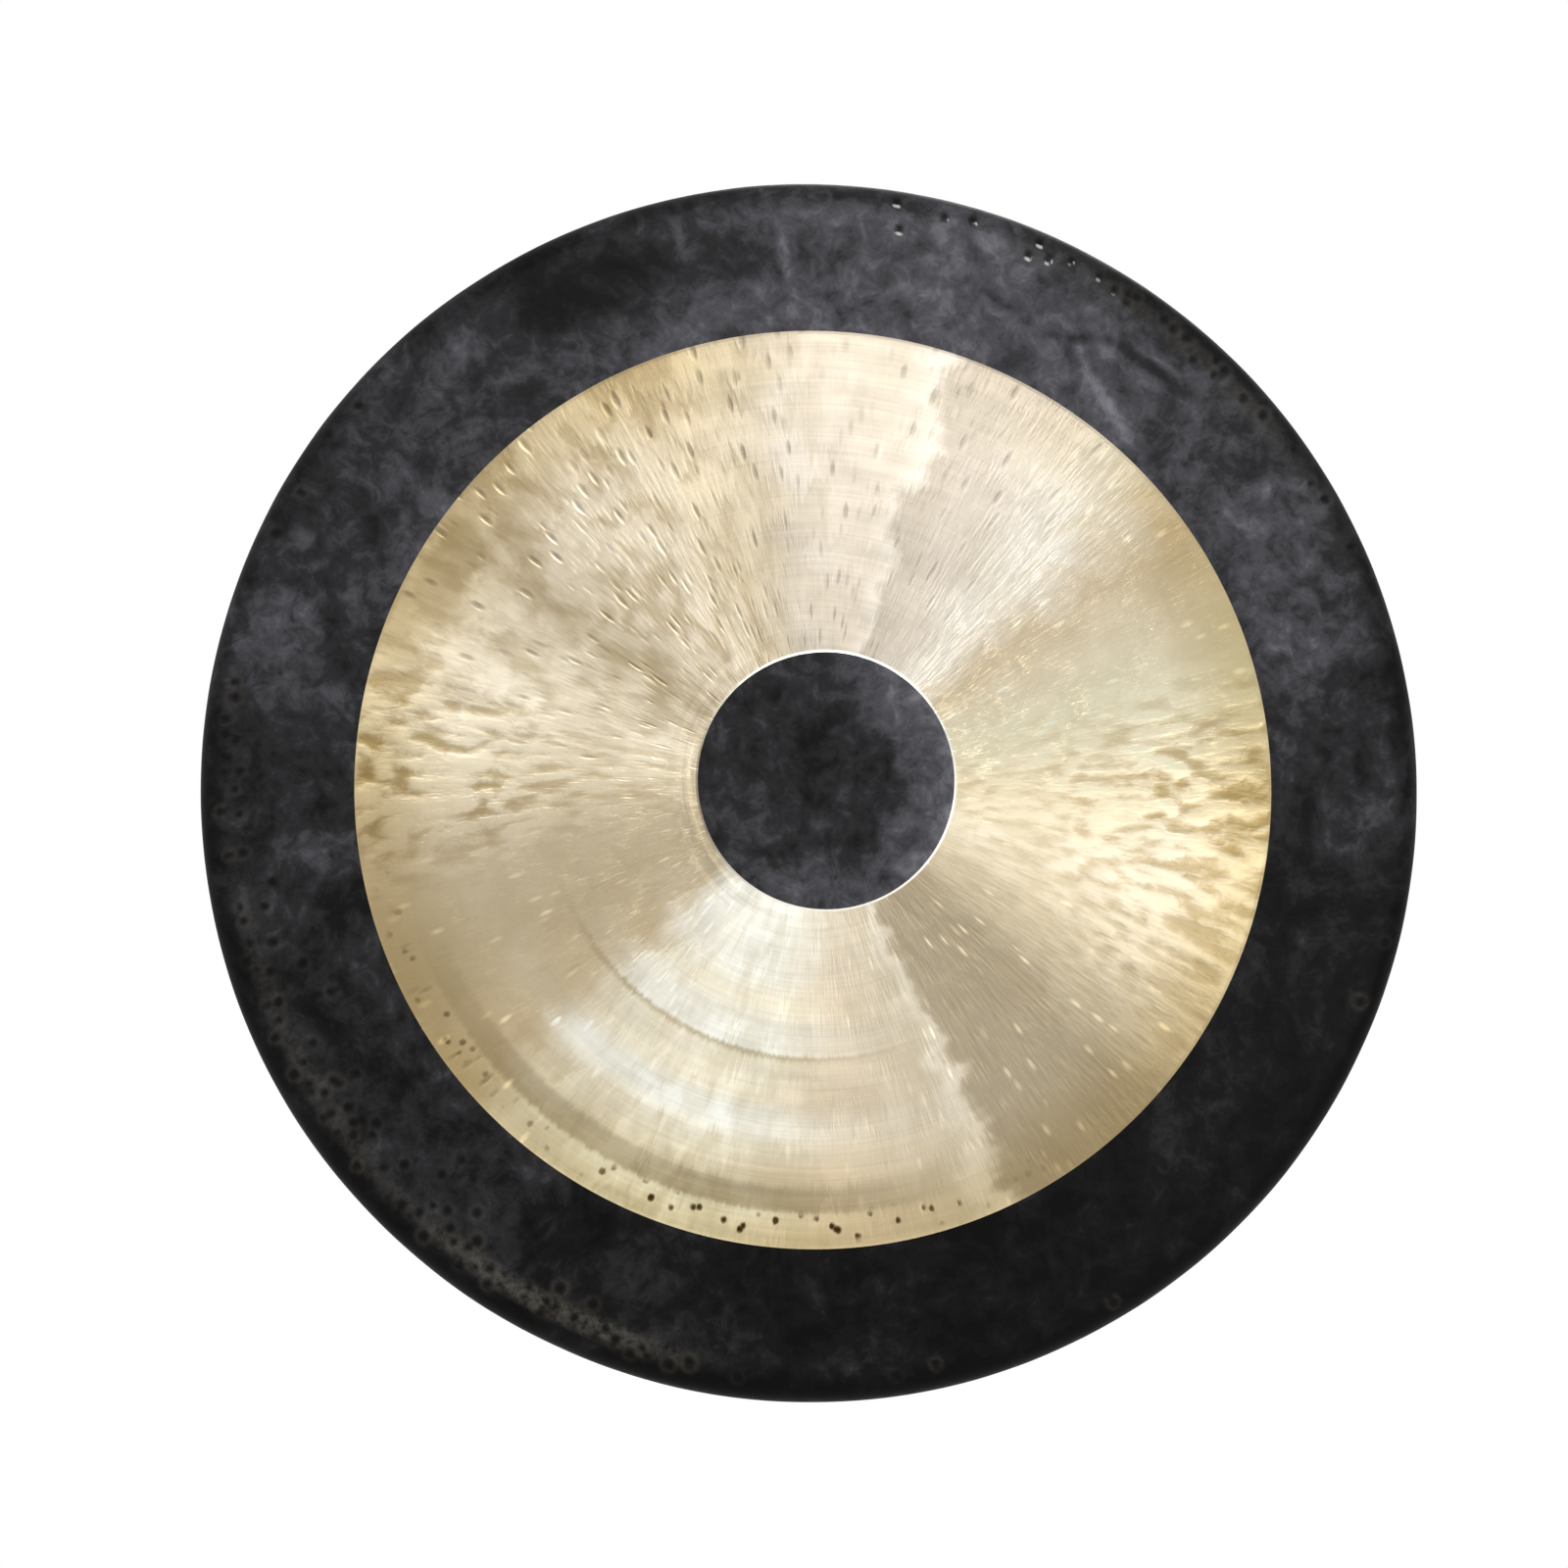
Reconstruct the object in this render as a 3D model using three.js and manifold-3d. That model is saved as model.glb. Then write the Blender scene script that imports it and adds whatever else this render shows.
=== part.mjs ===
// A tam tam, the flat-faced gong also called a chau gong. It is one sheet of bronze: a round,
// slightly domed face whose edge is turned back all round into a shallow flange. The face's
// outer band and its centre disc keep the sheet's full thickness; the ring between them is
// turned a little thinner on both sides. Two holes in the top of the flange take the cord.
//
// The gong hangs upright: its axis is Y, its face looks along -Y, and +Z is up. The origin
// lies midway between the two hanging holes.

import * as THREE from "three";
import { mergeVertices } from "three/addons/utils/BufferGeometryUtils.js";
import Module from "manifold-3d";

// Driving dimensions, in millimetres and degrees.
const gongDiameter = 800; // across the widest part of the bend
const sheetThickness = 3;
const domeHeight = 14; // how far the face bulges forward at its centre
const bendRadius = 16; // outside radius of the bend from face to flange
const rimDepth = 48; // from the front of the bend to the flange's back edge
const flangeLean = 6; // degrees the flange leans in towards the back
const edgeChamfer = 0.5; // filed corners of the back edge
const ringDiameter = 600; // outside of the turned ring
const turnedDepth = 0.35; // taken off each side of the ring
const stepWidth = 1.2; // run of the sloped step at each edge of the ring
const discDiameter = 170; // the unturned disc at the centre
const discOffsetX = 6.5; // the disc is turned by eye, so it sits a little off centre
const discOffsetZ = 4.5;
const holeDiameter = 10; // hanging holes
const holeAngle = 18; // degrees from straight up to each hole
const holeInset = 21; // from the back edge to a hole's centre, along the flange
const facetsRound = 96; // round the gong and its centre disc
const faceFacets = 3; // from the axis to the ring's outside
const bendFacets = 6; // across the bend
const holeFacets = 24;
const drillLength = 18; // long enough to pass right through the flange
const samePlace = 1e-4; // vertices closer than this are one

const radians = THREE.MathUtils.degToRad;
const lean = radians(flangeLean);

// The face and the bend are drawn as surfaces at a chosen distance from one hidden guide: a
// sphere through the centre of the bend. Distance bendRadius is the front of the sheet, and
// less is deeper into it.
const bendCentre = gongDiameter / 2 - bendRadius;
const guideRadius = (bendCentre ** 2 + domeHeight ** 2) / (2 * domeHeight);
const guideCentreY = guideRadius - domeHeight;
const faceSlope = Math.asin(bendCentre / guideRadius);
const frontAt = bendRadius;
const backAt = bendRadius - sheetThickness;
const backEdgeY = rimDepth - bendRadius;

// A point of the face, at radius r, on the surface at the given distance from the guide.
function facePoint(r, distance) {
  const drop = Math.sqrt((guideRadius + distance) ** 2 - r ** 2);
  return new THREE.Vector2(r, guideCentreY - drop);
}

// Points across the bend, from the face to the flange, on the surface at that distance. One of
// them is at the widest place, and the last facet carries on from there to the leaning flange.
function bendPoints(distance) {
  const start = faceSlope - Math.PI / 2;
  const steps = bendFacets - 1;
  const angles = Array.from({ length: steps }, (_, i) => start * (1 - i / steps));
  return [...angles, 0, lean].map(
    (angle) =>
      new THREE.Vector2(
        bendCentre + distance * Math.cos(angle),
        distance * Math.sin(angle),
      ),
  );
}

// A point of the flange at height y, on the surface at that distance.
function flangePoint(y, distance) {
  return new THREE.Vector2(
    bendCentre + (distance - y * Math.sin(lean)) / Math.cos(lean),
    y,
  );
}

// Half of the sheet's section from the axis to the bend: the turned ring, its sloped step and
// the start of the outer band. The middle is turned too, and the centre disc is put back later.
function facePoints(distance, turnedDistance) {
  const ringRadius = ringDiameter / 2;
  const turnedRadius = ringRadius - stepWidth;
  const turnedPoints = Array.from({ length: faceFacets + 1 }, (_, i) =>
    facePoint((i * turnedRadius) / faceFacets, turnedDistance),
  );
  return [
    ...turnedPoints,
    facePoint(ringRadius, distance),
    facePoint((ringRadius + bendCentre) / 2, distance),
  ];
}

function sheetSection() {
  const front = [...facePoints(frontAt, frontAt - turnedDepth), ...bendPoints(frontAt)];
  const back = [...facePoints(backAt, backAt + turnedDepth), ...bendPoints(backAt)];
  const outerEdge = flangePoint(backEdgeY, frontAt);
  const innerEdge = flangePoint(backEdgeY, backAt);
  const edge = [
    flangePoint(backEdgeY - edgeChamfer, frontAt),
    new THREE.Vector2(outerEdge.x - edgeChamfer, backEdgeY),
    new THREE.Vector2(innerEdge.x + edgeChamfer, backEdgeY),
    flangePoint(backEdgeY - edgeChamfer, backAt),
  ];
  return [...front, ...edge, ...back.reverse()];
}

// The centre disc fills the turned middle up to the full thickness of the sheet. Its rim slopes
// down to the turned surface, and stops a little below it, inside the sheet.
function discSection() {
  const radius = discDiameter / 2;
  const bite = turnedDepth;
  const footRadius = radius + stepWidth;
  return [
    facePoint(0, frontAt),
    facePoint(radius / 2, frontAt),
    facePoint(radius - stepWidth, frontAt),
    facePoint(footRadius, frontAt - turnedDepth - bite),
    facePoint(footRadius, backAt + turnedDepth + bite),
    facePoint(radius - stepWidth, backAt),
    facePoint(radius / 2, backAt),
    facePoint(0, backAt),
  ];
}

// Where a hanging hole's centre lies, half way through the flange, and the way it is drilled.
const holeY = backEdgeY - holeInset * Math.cos(lean);
const holeRadius = flangePoint(holeY, (frontAt + backAt) / 2).x;
function holePlace(side) {
  const turn = radians(holeAngle) * side;
  const outward = new THREE.Vector3(Math.sin(turn), 0, Math.cos(turn));
  const centre = outward.clone().multiplyScalar(holeRadius).setY(holeY);
  const direction = outward.multiplyScalar(Math.cos(lean)).setY(Math.sin(lean));
  return { centre, direction };
}

function drillGeometry(side) {
  const { centre, direction } = holePlace(side);
  const up = new THREE.Vector3(0, 1, 0);
  const drill = new THREE.CylinderGeometry(
    holeDiameter / 2,
    holeDiameter / 2,
    drillLength,
    holeFacets,
  );
  drill.applyQuaternion(new THREE.Quaternion().setFromUnitVectors(up, direction));
  return drill.translate(centre.x, centre.y, centre.z);
}

// Closed solids from geometries, and back.
const wasm = await Module();
wasm.setup();

function solidFrom(geometry) {
  const bare = geometry.clone().deleteAttribute("normal").deleteAttribute("uv");
  const merged = mergeVertices(bare, samePlace);
  return new wasm.Manifold(
    new wasm.Mesh({
      numProp: 3,
      vertProperties: new Float32Array(merged.attributes.position.array),
      triVerts: new Uint32Array(merged.index.array),
    }),
  );
}

function geometryFrom(solid) {
  const { vertProperties, triVerts } = solid.getMesh();
  const geometry = new THREE.BufferGeometry();
  geometry.setAttribute("position", new THREE.BufferAttribute(vertProperties, 3));
  geometry.setIndex(new THREE.BufferAttribute(triVerts, 1));
  geometry.computeVertexNormals();
  return geometry;
}

function gongDisc() {
  const sheet = solidFrom(new THREE.LatheGeometry(sheetSection(), facetsRound));
  const disc = new THREE.LatheGeometry(discSection(), facetsRound);
  disc.translate(discOffsetX, 0, discOffsetZ);
  const solid = sheet
    .add(solidFrom(disc))
    .subtract(solidFrom(drillGeometry(-1)))
    .subtract(solidFrom(drillGeometry(1)));
  const hammeredBronze = new THREE.MeshStandardMaterial({
    color: 0xc9b083,
    roughness: 0.38,
    metalness: 1,
    flatShading: true,
  });
  const mesh = new THREE.Mesh(geometryFrom(solid), hammeredBronze);
  mesh.name = "gong_disc";
  mesh.position.set(0, -holeY, -holeRadius * Math.cos(radians(holeAngle)));
  return mesh;
}

const gong = new THREE.Group();
gong.add(gongDisc());

export default gong;
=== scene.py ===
import math

import bpy
import bmesh
import numpy as np
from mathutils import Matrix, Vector, noise


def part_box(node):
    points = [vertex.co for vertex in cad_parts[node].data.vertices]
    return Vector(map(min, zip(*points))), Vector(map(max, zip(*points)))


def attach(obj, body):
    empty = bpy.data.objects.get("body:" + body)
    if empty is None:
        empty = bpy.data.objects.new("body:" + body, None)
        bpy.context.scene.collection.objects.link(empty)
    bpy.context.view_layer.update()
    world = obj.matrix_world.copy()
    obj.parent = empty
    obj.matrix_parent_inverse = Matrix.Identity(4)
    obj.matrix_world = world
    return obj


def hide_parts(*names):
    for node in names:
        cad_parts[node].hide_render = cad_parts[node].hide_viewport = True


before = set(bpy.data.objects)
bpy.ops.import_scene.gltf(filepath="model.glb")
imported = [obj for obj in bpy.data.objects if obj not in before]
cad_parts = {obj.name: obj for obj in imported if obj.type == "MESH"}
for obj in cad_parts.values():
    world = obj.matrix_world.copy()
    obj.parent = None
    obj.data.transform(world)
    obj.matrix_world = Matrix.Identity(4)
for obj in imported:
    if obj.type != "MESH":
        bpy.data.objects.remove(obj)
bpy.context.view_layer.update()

# ---------------------------------------------------------------------------------------
# The sheet. A tam tam is one casting of bell bronze, four parts copper to one of tin, that
# is hammered out hot to a thin round sheet with a shallow dome, and then has its edge
# beaten back all round into a flange. Every zone of it is this one piece of metal.
# ---------------------------------------------------------------------------------------
MM = 0.001
low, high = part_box("gong_disc")
radius = (high.x - low.x) / 2
dome = 14 * MM
bend_radius = 16 * MM
thickness = 3 * MM
lean = math.radians(6)
centre = Vector(((low.x + high.x) / 2, low.y + dome + bend_radius, (low.z + high.z) / 2))
back_edge = high.y - centre.y
bend_centre = radius - bend_radius
guide_radius = (bend_centre ** 2 + dome ** 2) / (2 * dome)
face_slope = math.asin(bend_centre / guide_radius)

# The turned ring and the centre disc. The disc's edge was followed by eye, so it sits a
# few millimetres up and to the right of the gong's own centre.
ring_radius = 300 * MM
turned_depth = 0.35 * MM
step_run = 1.4 * MM
disc_radius = 85 * MM
disc_bevel = 1.1 * MM
disc_offset = np.array((6.5 * MM, 4.5 * MM))

# How many points the circles of the mesh have: the fewest, near the centre, and those of the
# flange, the band and the punched rim. All are the fewest doubled, so that neighbours join.
fewest_points = 45
flange_points = 360
band_points = 720
punched_points = 1440
spacing = 3.6 * MM


def smooth(a, b, x):
    """0 below a, 1 above b, and a smooth rise in between."""
    t = np.clip((np.asarray(x, float) - a) / (b - a), 0, 1)
    return t * t * (3 - 2 * t)


def face_y(r, depth):
    """Height of the face along the gong's axis, at radius r, that far under its front."""
    reach = guide_radius + bend_radius - depth
    return guide_radius - dome - np.sqrt(reach ** 2 - np.asarray(r) ** 2)


def points_round(r):
    """How many points a circle of radius r gets: the fewest, doubled until close enough."""
    doublings = math.ceil(math.log2(2 * math.pi * r / (fewest_points * spacing)))
    return fewest_points * 2 ** max(0, doublings)


def face_circles(front):
    """(radius, depth, points, zone) of each circle of one side of the face, from the middle."""
    surface = 0.0 if front else thickness
    turned = turned_depth if front else thickness - turned_depth
    step = 4.2 * MM if front else 8.5 * MM
    coarser = 1 if front else 2
    circles = []
    inner = disc_radius - disc_bevel
    for r in np.arange(step, inner - step / 2, step):
        circles.append((r, surface, max(fewest_points, points_round(r) // coarser), "disc"))
    for r, share in ((inner - 1 * MM, 0), (inner, 0.04), (inner + disc_bevel / 2, 0.5),
                     (disc_radius, 0.97), (disc_radius + 1 * MM, 1)):
        zone = "disc" if share == 0 else "bevel" if share < 0.97 else "ring"
        depth = surface + share * (turned - surface)
        circles.append((r, depth, points_round(disc_radius) // coarser, zone))
    ring_step = 3.5 * MM if front else step
    for r in np.arange(disc_radius + ring_step, ring_radius - step_run - ring_step / 2, ring_step):
        circles.append((r, turned, points_round(r) // coarser, "ring"))
    for r, share in ((ring_radius - step_run - 1 * MM, 1), (ring_radius - step_run, 0.97),
                     (ring_radius, 0.03), (ring_radius + 1 * MM, 0)):
        zone = "ring" if r < ring_radius else "band"
        depth = surface + share * (turned - surface)
        circles.append((r, depth, band_points // coarser, zone))
    punched_from = 343 * MM
    for r in np.arange(ring_radius + step, punched_from, step):
        circles.append((r, surface, band_points // coarser, "band"))
    edge_step = 2.4 * MM if front else step
    for r in np.arange(punched_from, bend_centre - edge_step / 2, edge_step):
        circles.append((r, surface, punched_points if front else flange_points, "band"))
    return circles


def bend_circles(distance, points, angles):
    """Circles of the bend, at that distance from its own centre line, at each angle."""
    return [
        (bend_centre + distance * math.cos(a), distance * math.sin(a), points)
        for a in angles
    ]


def flange_circle(distance, y, points):
    """A circle of the leaning flange at height y, that distance out from the bend's centre."""
    return (bend_centre + (distance - y * math.sin(lean)) / math.cos(lean), y, points)


def sheet_circles():
    """(radius, height, points, zone, on the face) for every circle, front to back."""
    start = face_slope - math.pi / 2
    outside, inside = bend_radius, bend_radius - thickness
    filed = 0.7 * MM
    turns = np.linspace(start, lean, 11)
    bend = bend_circles(outside, punched_points, turns[:6])
    bend += bend_circles(outside, band_points, turns[6:])
    for y in np.linspace(outside * math.sin(lean), back_edge - filed, 6)[1:]:
        bend.append(flange_circle(outside, y, flange_points))
    outer = flange_circle(outside, back_edge, flange_points)[0]
    inner = flange_circle(inside, back_edge, flange_points)[0]
    bend += [
        (outer - 0.3 * filed, back_edge - 0.3 * filed, flange_points),
        (outer - filed, back_edge, flange_points),
        (inner + filed, back_edge, flange_points),
        (inner + 0.3 * filed, back_edge - 0.3 * filed, flange_points),
        flange_circle(inside, back_edge - filed, flange_points),
    ]
    for y in np.linspace(back_edge - 2 * filed, inside * math.sin(lean), 4):
        bend.append(flange_circle(inside, y, flange_points))
    bend += bend_circles(inside, flange_points, np.linspace(lean, start, 7)[1:])
    front = [(r, face_y(r, d), n, zone, True) for r, d, n, zone in face_circles(True)]
    back = [(r, face_y(r, d), n, zone, True) for r, d, n, zone in face_circles(False)]
    return front + [(r, y, n, "band", False) for r, y, n in bend] + back[::-1]


def round_points(count):
    """Evenly spaced points round a circle of radius 1."""
    turn = np.arange(count) * 2 * math.pi / count
    return np.stack((np.cos(turn), np.sin(turn)), 1)


def lay_out(circles):
    """The points of every circle, and the number of each circle's first point."""
    rows, starts, total = [], [], 1
    for r, y, n, zone, on_face in circles:
        follow = 1 - smooth(disc_radius + 1 * MM, ring_radius - 10 * MM, r) if on_face else 0
        flat = round_points(n) * r + disc_offset * follow
        heights = np.full(n, y)
        if on_face:
            heights = face_y(np.hypot(flat[:, 0], flat[:, 1]), 0) + y - face_y(r, 0)
        rows.append(np.column_stack((flat[:, 0], heights, flat[:, 1])))
        starts.append(total)
        total += n
    return rows, starts


def stitch(first, n_first, second, n_second):
    """Faces between two neighbouring circles, whose counts are the same or double."""
    faces = []
    for k in range(min(n_first, n_second)):
        if n_first == n_second:
            after = (k + 1) % n_first
            faces.append((first + k, first + after, second + after, second + k))
        elif n_second == 2 * n_first:
            after, middle, last = (k + 1) % n_first, 2 * k + 1, (2 * k + 2) % n_second
            faces.append((first + k, second + middle, second + 2 * k))
            faces.append((first + k, first + after, second + last, second + middle))
        else:
            after, middle, last = (k + 1) % n_second, 2 * k + 1, (2 * k + 2) % n_first
            faces.append((first + 2 * k, first + middle, second + k))
            faces.append((first + middle, first + last, second + after, second + k))
    return faces


circles = sheet_circles()
front_count = len(face_circles(True))
rows, starts = lay_out(circles)
middle = np.array([[disc_offset[0], 0, disc_offset[1]]])
flat_sheet = np.concatenate([middle, *rows, middle])
flat_sheet[0, 1] = rows[0][0][1]
flat_sheet[-1, 1] = rows[-1][0][1]
last = len(flat_sheet) - 1
faces = []
for k in range(fewest_points):
    after = (k + 1) % fewest_points
    faces.append((0, starts[0] + after, starts[0] + k))
for k in range(fewest_points):
    after = (k + 1) % fewest_points
    faces.append((last, starts[-1] + k, starts[-1] + after))
zones = ["disc"] * len(faces)
for i in range(len(circles) - 1):
    made = stitch(starts[i], circles[i][2], starts[i + 1], circles[i + 1][2])
    faces += made
    zones += [circles[i if i < front_count else i + 1][3]] * len(made)

# ---------------------------------------------------------------------------------------
# The hammering. It leaves the face a little uneven: slow warps a hand's breadth across,
# planishing facets of a few centimetres, and in the ring creases and ripples that run
# outwards, most of all to the left and to the right, where the sheet was last stretched.
# ---------------------------------------------------------------------------------------
flat = flat_sheet[:, (0, 2)]
out = np.hypot(flat[:, 0], flat[:, 1])
away = flat / (out[:, None] + 1e-9)
turn = np.degrees(np.arctan2(flat[:, 1], flat[:, 0])) % 360


def waves(size, seed):
    """Smooth noise over the face, from -1 to 1, with features of that size."""
    return np.array([noise.noise((x / size, z / size, seed)) for x, z in flat])


def outward_waves(across, along, seed, swirl=0.0):
    """Noise stretched outwards: across is its width at the ring's edge, along its length."""
    wide = ring_radius / across
    reach = out / along + seed + swirl
    return np.array([
        noise.noise((x * wide, z * wide, deep)) for (x, z), deep in zip(away, reach)
    ])


def towards(angle, half_width):
    """1 in that direction in degrees, falling to 0 half_width to each side of it."""
    off = np.abs((turn - angle + 180) % 360 - 180)
    return 1 - smooth(0, half_width, off)


in_ring = smooth(disc_radius, disc_radius + 12 * MM, out)
in_ring *= 1 - smooth(ring_radius - 3 * MM, ring_radius + 3 * MM, out)
creased = 1.2 * towards(177, 22) + 1.1 * towards(356, 27) + 0.35 * towards(333, 16)
creased += 0.25 * towards(150, 30) + 0.2 * towards(248, 26)
outer_part = 0.35 + 0.65 * smooth(130 * MM, 250 * MM, out)
wrinkled = in_ring * outer_part * np.clip(creased, 0, 1)
bulge = 0.55 * MM * waves(190 * MM, 3.1)
bulge += 0.20 * MM * waves(58 * MM, 8.4)
bulge += 0.07 * MM * waves(26 * MM, 5.7)
swirl = 1.3 * waves(40 * MM, 4.4)
bulge += in_ring * 0.12 * MM * outward_waves(44 * MM, 130 * MM, 6.1)
crest = outward_waves(9 * MM, 19 * MM, 2.3, swirl)
bulge += in_ring * 0.03 * MM * crest + wrinkled * 0.22 * MM * crest
on_rim = smooth(radius - 34 * MM, radius - 4 * MM, out)
rim_wave = 0.5 * MM * waves(120 * MM, 1.7) + 0.16 * MM * waves(34 * MM, 9.2)

points = flat_sheet.copy()
points[:, 1] -= bulge * (1 - on_rim)
points[:, (0, 2)] += away * (on_rim * rim_wave)[:, None]

# ---------------------------------------------------------------------------------------
# Punch marks. After the flange is turned the maker tunes and trues the gong with a small
# round-nosed hammer, which leaves round dents 7 mm to 9 mm across, thick along the lower
# left of the rim, fewer along the upper right, with a few strays further in.
# ---------------------------------------------------------------------------------------
punch_rows = (
    # first and last direction in degrees, mm in from the widest edge, gap, scatter, misses
    (166, 258, 15.5, 12.5, 3.0, 0.30),
    (176, 256, 22.5, 14.0, 4.0, 0.35),
    (190, 246, 31.0, 20.0, 6.0, 0.50),
    (198, 236, 42.0, 30.0, 9.0, 0.50),
    (24, 66, 12.5, 13.0, 2.0, 0.25),
    (30, 60, 20.0, 25.0, 4.0, 0.45),
    (262, 300, 14.0, 28.0, 4.0, 0.45),
    (335, 352, 14.0, 34.0, 3.0, 0.30),
    (140, 160, 13.0, 24.0, 3.0, 0.45),
)
strays = (
    (216, 371), (217.5, 359), (226.4, 335), (228.8, 337), (229, 364), (231.5, 353), (212, 352),
    (207, 366), (199, 352), (203, 341), (190, 358), (82, 391), (81.4, 373), (77.2, 387),
    (74.4, 390), (68.2, 380), (67.6, 391), (66.2, 383), (59, 385), (57.6, 388), (52, 386),
)
chance = np.random.default_rng(11)
marks = [(angle, r * MM, 4.2 * MM, 0.8 * MM) for angle, r in strays]
for first, end, inset, gap, scatter, misses in punch_rows:
    r = radius - inset * MM
    for angle in np.arange(math.radians(first), math.radians(end), gap * MM / r):
        missed, along, across, size = chance.random(4)
        if missed > misses:
            marks.append((
                math.degrees(angle + (along - 0.5) * 0.55 * gap * MM / r),
                r + (across - 0.5) * 2 * scatter * MM,
                (3.3 + 1.4 * size) * MM,
                (0.55 + 0.4 * size) * MM,
            ))

# A painted highlight goes on the lower lip of the marks near the top, where the lamp above catches
# them.
depth, bowl, lip, lit_lip = (np.zeros(len(points)) for _ in range(4))
# Only the face and the first circles of the bend can be reached by the punch.
bend_rows = 6
facing = np.arange(len(points)) < starts[front_count + bend_rows]
for angle, r, size, deep in marks:
    at = r * np.array((math.cos(math.radians(angle)), math.sin(math.radians(angle))))
    close = np.nonzero(facing & (np.abs(flat - at) < 2.5 * size).all(1))[0]
    off = (flat[close] - at) / size
    reach = np.hypot(off[:, 0], off[:, 1])
    inside = np.clip(1 - reach ** 2, 0, 1) ** 1.3
    edge = np.exp(-(((reach - 1.15) / 0.38) ** 2))
    lower = smooth(0.25, 0.9, -off[:, 1] / (reach + 0.1))
    lower = lower * np.exp(-(((reach - 0.85) / 0.28) ** 2))
    depth[close] = np.maximum(depth[close], deep * (inside - 0.12 * edge))
    bowl[close] = np.maximum(bowl[close], inside)
    halo = 0.1 + 0.9 * ((angle * 7.3) % 1) ** 2
    lip[close] = np.maximum(lip[close], halo * edge * (1 - inside))
    lit_lip[close] = np.maximum(lit_lip[close], lower * (1 - smooth(6, 22, abs(angle - 73))))
tilt = np.clip((out - bend_centre) / bend_radius, 0, 1)
points[:, 1] += depth * np.sqrt(1 - tilt ** 2)
points[:, (0, 2)] -= away * (depth * tilt)[:, None]

sheet = bpy.data.meshes.new("gong")
sheet.from_pydata((points + np.array(centre)).tolist(), [], faces)
shape = bmesh.new()
shape.from_mesh(sheet)
if shape.calc_volume(signed=True) < 0:
    bmesh.ops.reverse_faces(shape, faces=shape.faces)
shape.to_mesh(sheet)
shape.free()
sheet.polygons.foreach_set("use_smooth", [True] * len(sheet.polygons))
sheet.set_sharp_from_angle(angle=math.radians(40))
gong = bpy.data.objects.new("gong", sheet)
bpy.context.scene.collection.objects.link(gong)


def store(name, values):
    """Keeps a value for every point of the sheet, for the materials to read."""
    sheet.attributes.new(name, "FLOAT", "POINT").data.foreach_set("value", values.astype("f"))


# The back was scraped and blackened on its own, so its marks lie turned from the front's.
back_lip = next(i for i, circle in enumerate(circles) if circle[1] == back_edge)
behind = (np.arange(len(points)) >= starts[back_lip + 1]) * 1.0
back_turn = math.radians(133)
turn = (turn + behind * math.degrees(back_turn)) % 360
marked_at = out[:, None] * np.stack((np.cos(np.radians(turn)), np.sin(np.radians(turn))), 1)
store("behind", behind)
store("punch_bowl", bowl)
store("punch_lip", lip)
store("lit_lip", lit_lip)
store("crest", crest)
store("wrinkled", wrinkled)

# ---------------------------------------------------------------------------------------
# Forging scale. Copper oxide, black with a blue cast, grown on the bronze in the forge and
# then waxed. It is left on the outer band, the flange and the centre disc. To the eye it is
# a smoky satin black with paler clouds, dark veins, and brown where handling wore it thin.
# ---------------------------------------------------------------------------------------
def linear(colour):
    """An sRGB hex colour as the linear values that a shader takes."""
    parts = [int(colour[i:i + 2], 16) / 255 for i in (1, 3, 5)]
    return (*(p / 12.92 if p <= 0.04045 else ((p + 0.055) / 1.055) ** 2.4 for p in parts), 1)


def add(tree, kind, inputs=None, stops=None, **settings):
    """Adds a node with its settings, its inputs set or linked, and its ramp's stops."""
    made = tree.nodes.new("ShaderNode" + kind)
    for name, value in settings.items():
        setattr(made, name, value)
    for name, value in (inputs or {}).items():
        if isinstance(value, bpy.types.Node):
            value = value.outputs[0]
        if isinstance(value, bpy.types.NodeSocket):
            tree.links.new(value, made.inputs[name])
        else:
            made.inputs[name].default_value = value
    for i, (place, colour) in enumerate(stops or ()):
        stop = made.color_ramp.elements[i] if i < 2 else made.color_ramp.elements.new(place)
        stop.position = place
        stop.color = linear(colour)
    return made


# How pale the scale is, from 0 to 1: palest at the upper right and darkest underneath, which is
# partly the scale's own tone and partly painted light from above, with painted shade over the
# bend, and paler round the centre disc's own edge. The twelve tones, one for each 30 degrees, were
# fitted to average tones there, so they hold some of the light on it as well.
disc_reach = np.hypot(*(flat - disc_offset).T)
on_disc = 1 - smooth(disc_radius, disc_radius + 4 * MM, disc_reach)
pale_tone_and_painted_light = np.interp(turn, np.arange(15, 360, 30), (
    0.43, 0.47, 0.66, 0.46, 0.43, 0.37, 0.27, 0.23, 0.13, 0.03, 0.03, 0.12), period=360)
# Painted shade over the bend, strongest at the upper right and lower left, and a little inside the
# bend at the upper right.
bend_shade = 0.5 + 0.5 * (towards(60, 70) + towards(235, 70))
pale_tone_and_painted_light -= 0.26 * smooth(378 * MM, 392 * MM, out) * bend_shade
pale_tone_and_painted_light -= 0.10 * smooth(362 * MM, 376 * MM, out) * towards(48, 34)
disc_edge = smooth(0.3, 1.0, disc_reach / disc_radius)
disc_tone = 0.25 + 0.44 * disc_edge * (0.35 + 0.65 * towards(350, 150))
pale_tone_and_painted_light = pale_tone_and_painted_light * (1 - on_disc) + disc_tone * on_disc


def spot(x, z, across, high):
    """1 in the middle of an oval spot that many mm across and high, fading to 0."""
    off = (marked_at - np.array((x, z)) * MM) / (np.array((across, high)) * MM)
    return 1 - smooth(0.2, 1, np.hypot(off[:, 0], off[:, 1]))


def smear(x0, z0, x1, z1, width):
    """1 along a straight wipe between two places in mm, fading to 0 at that width."""
    start, line = np.array((x0, z0)) * MM, np.array((x1 - x0, z1 - z0)) * MM
    share = np.clip((marked_at - start) @ line / (line @ line), 0, 1)
    away_from = np.hypot(*(marked_at - start - share[:, None] * line).T)
    taper = np.sin(math.pi * np.clip(share, 0.08, 0.92))
    return (1 - smooth(0, width * MM, away_from)) * taper


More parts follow.
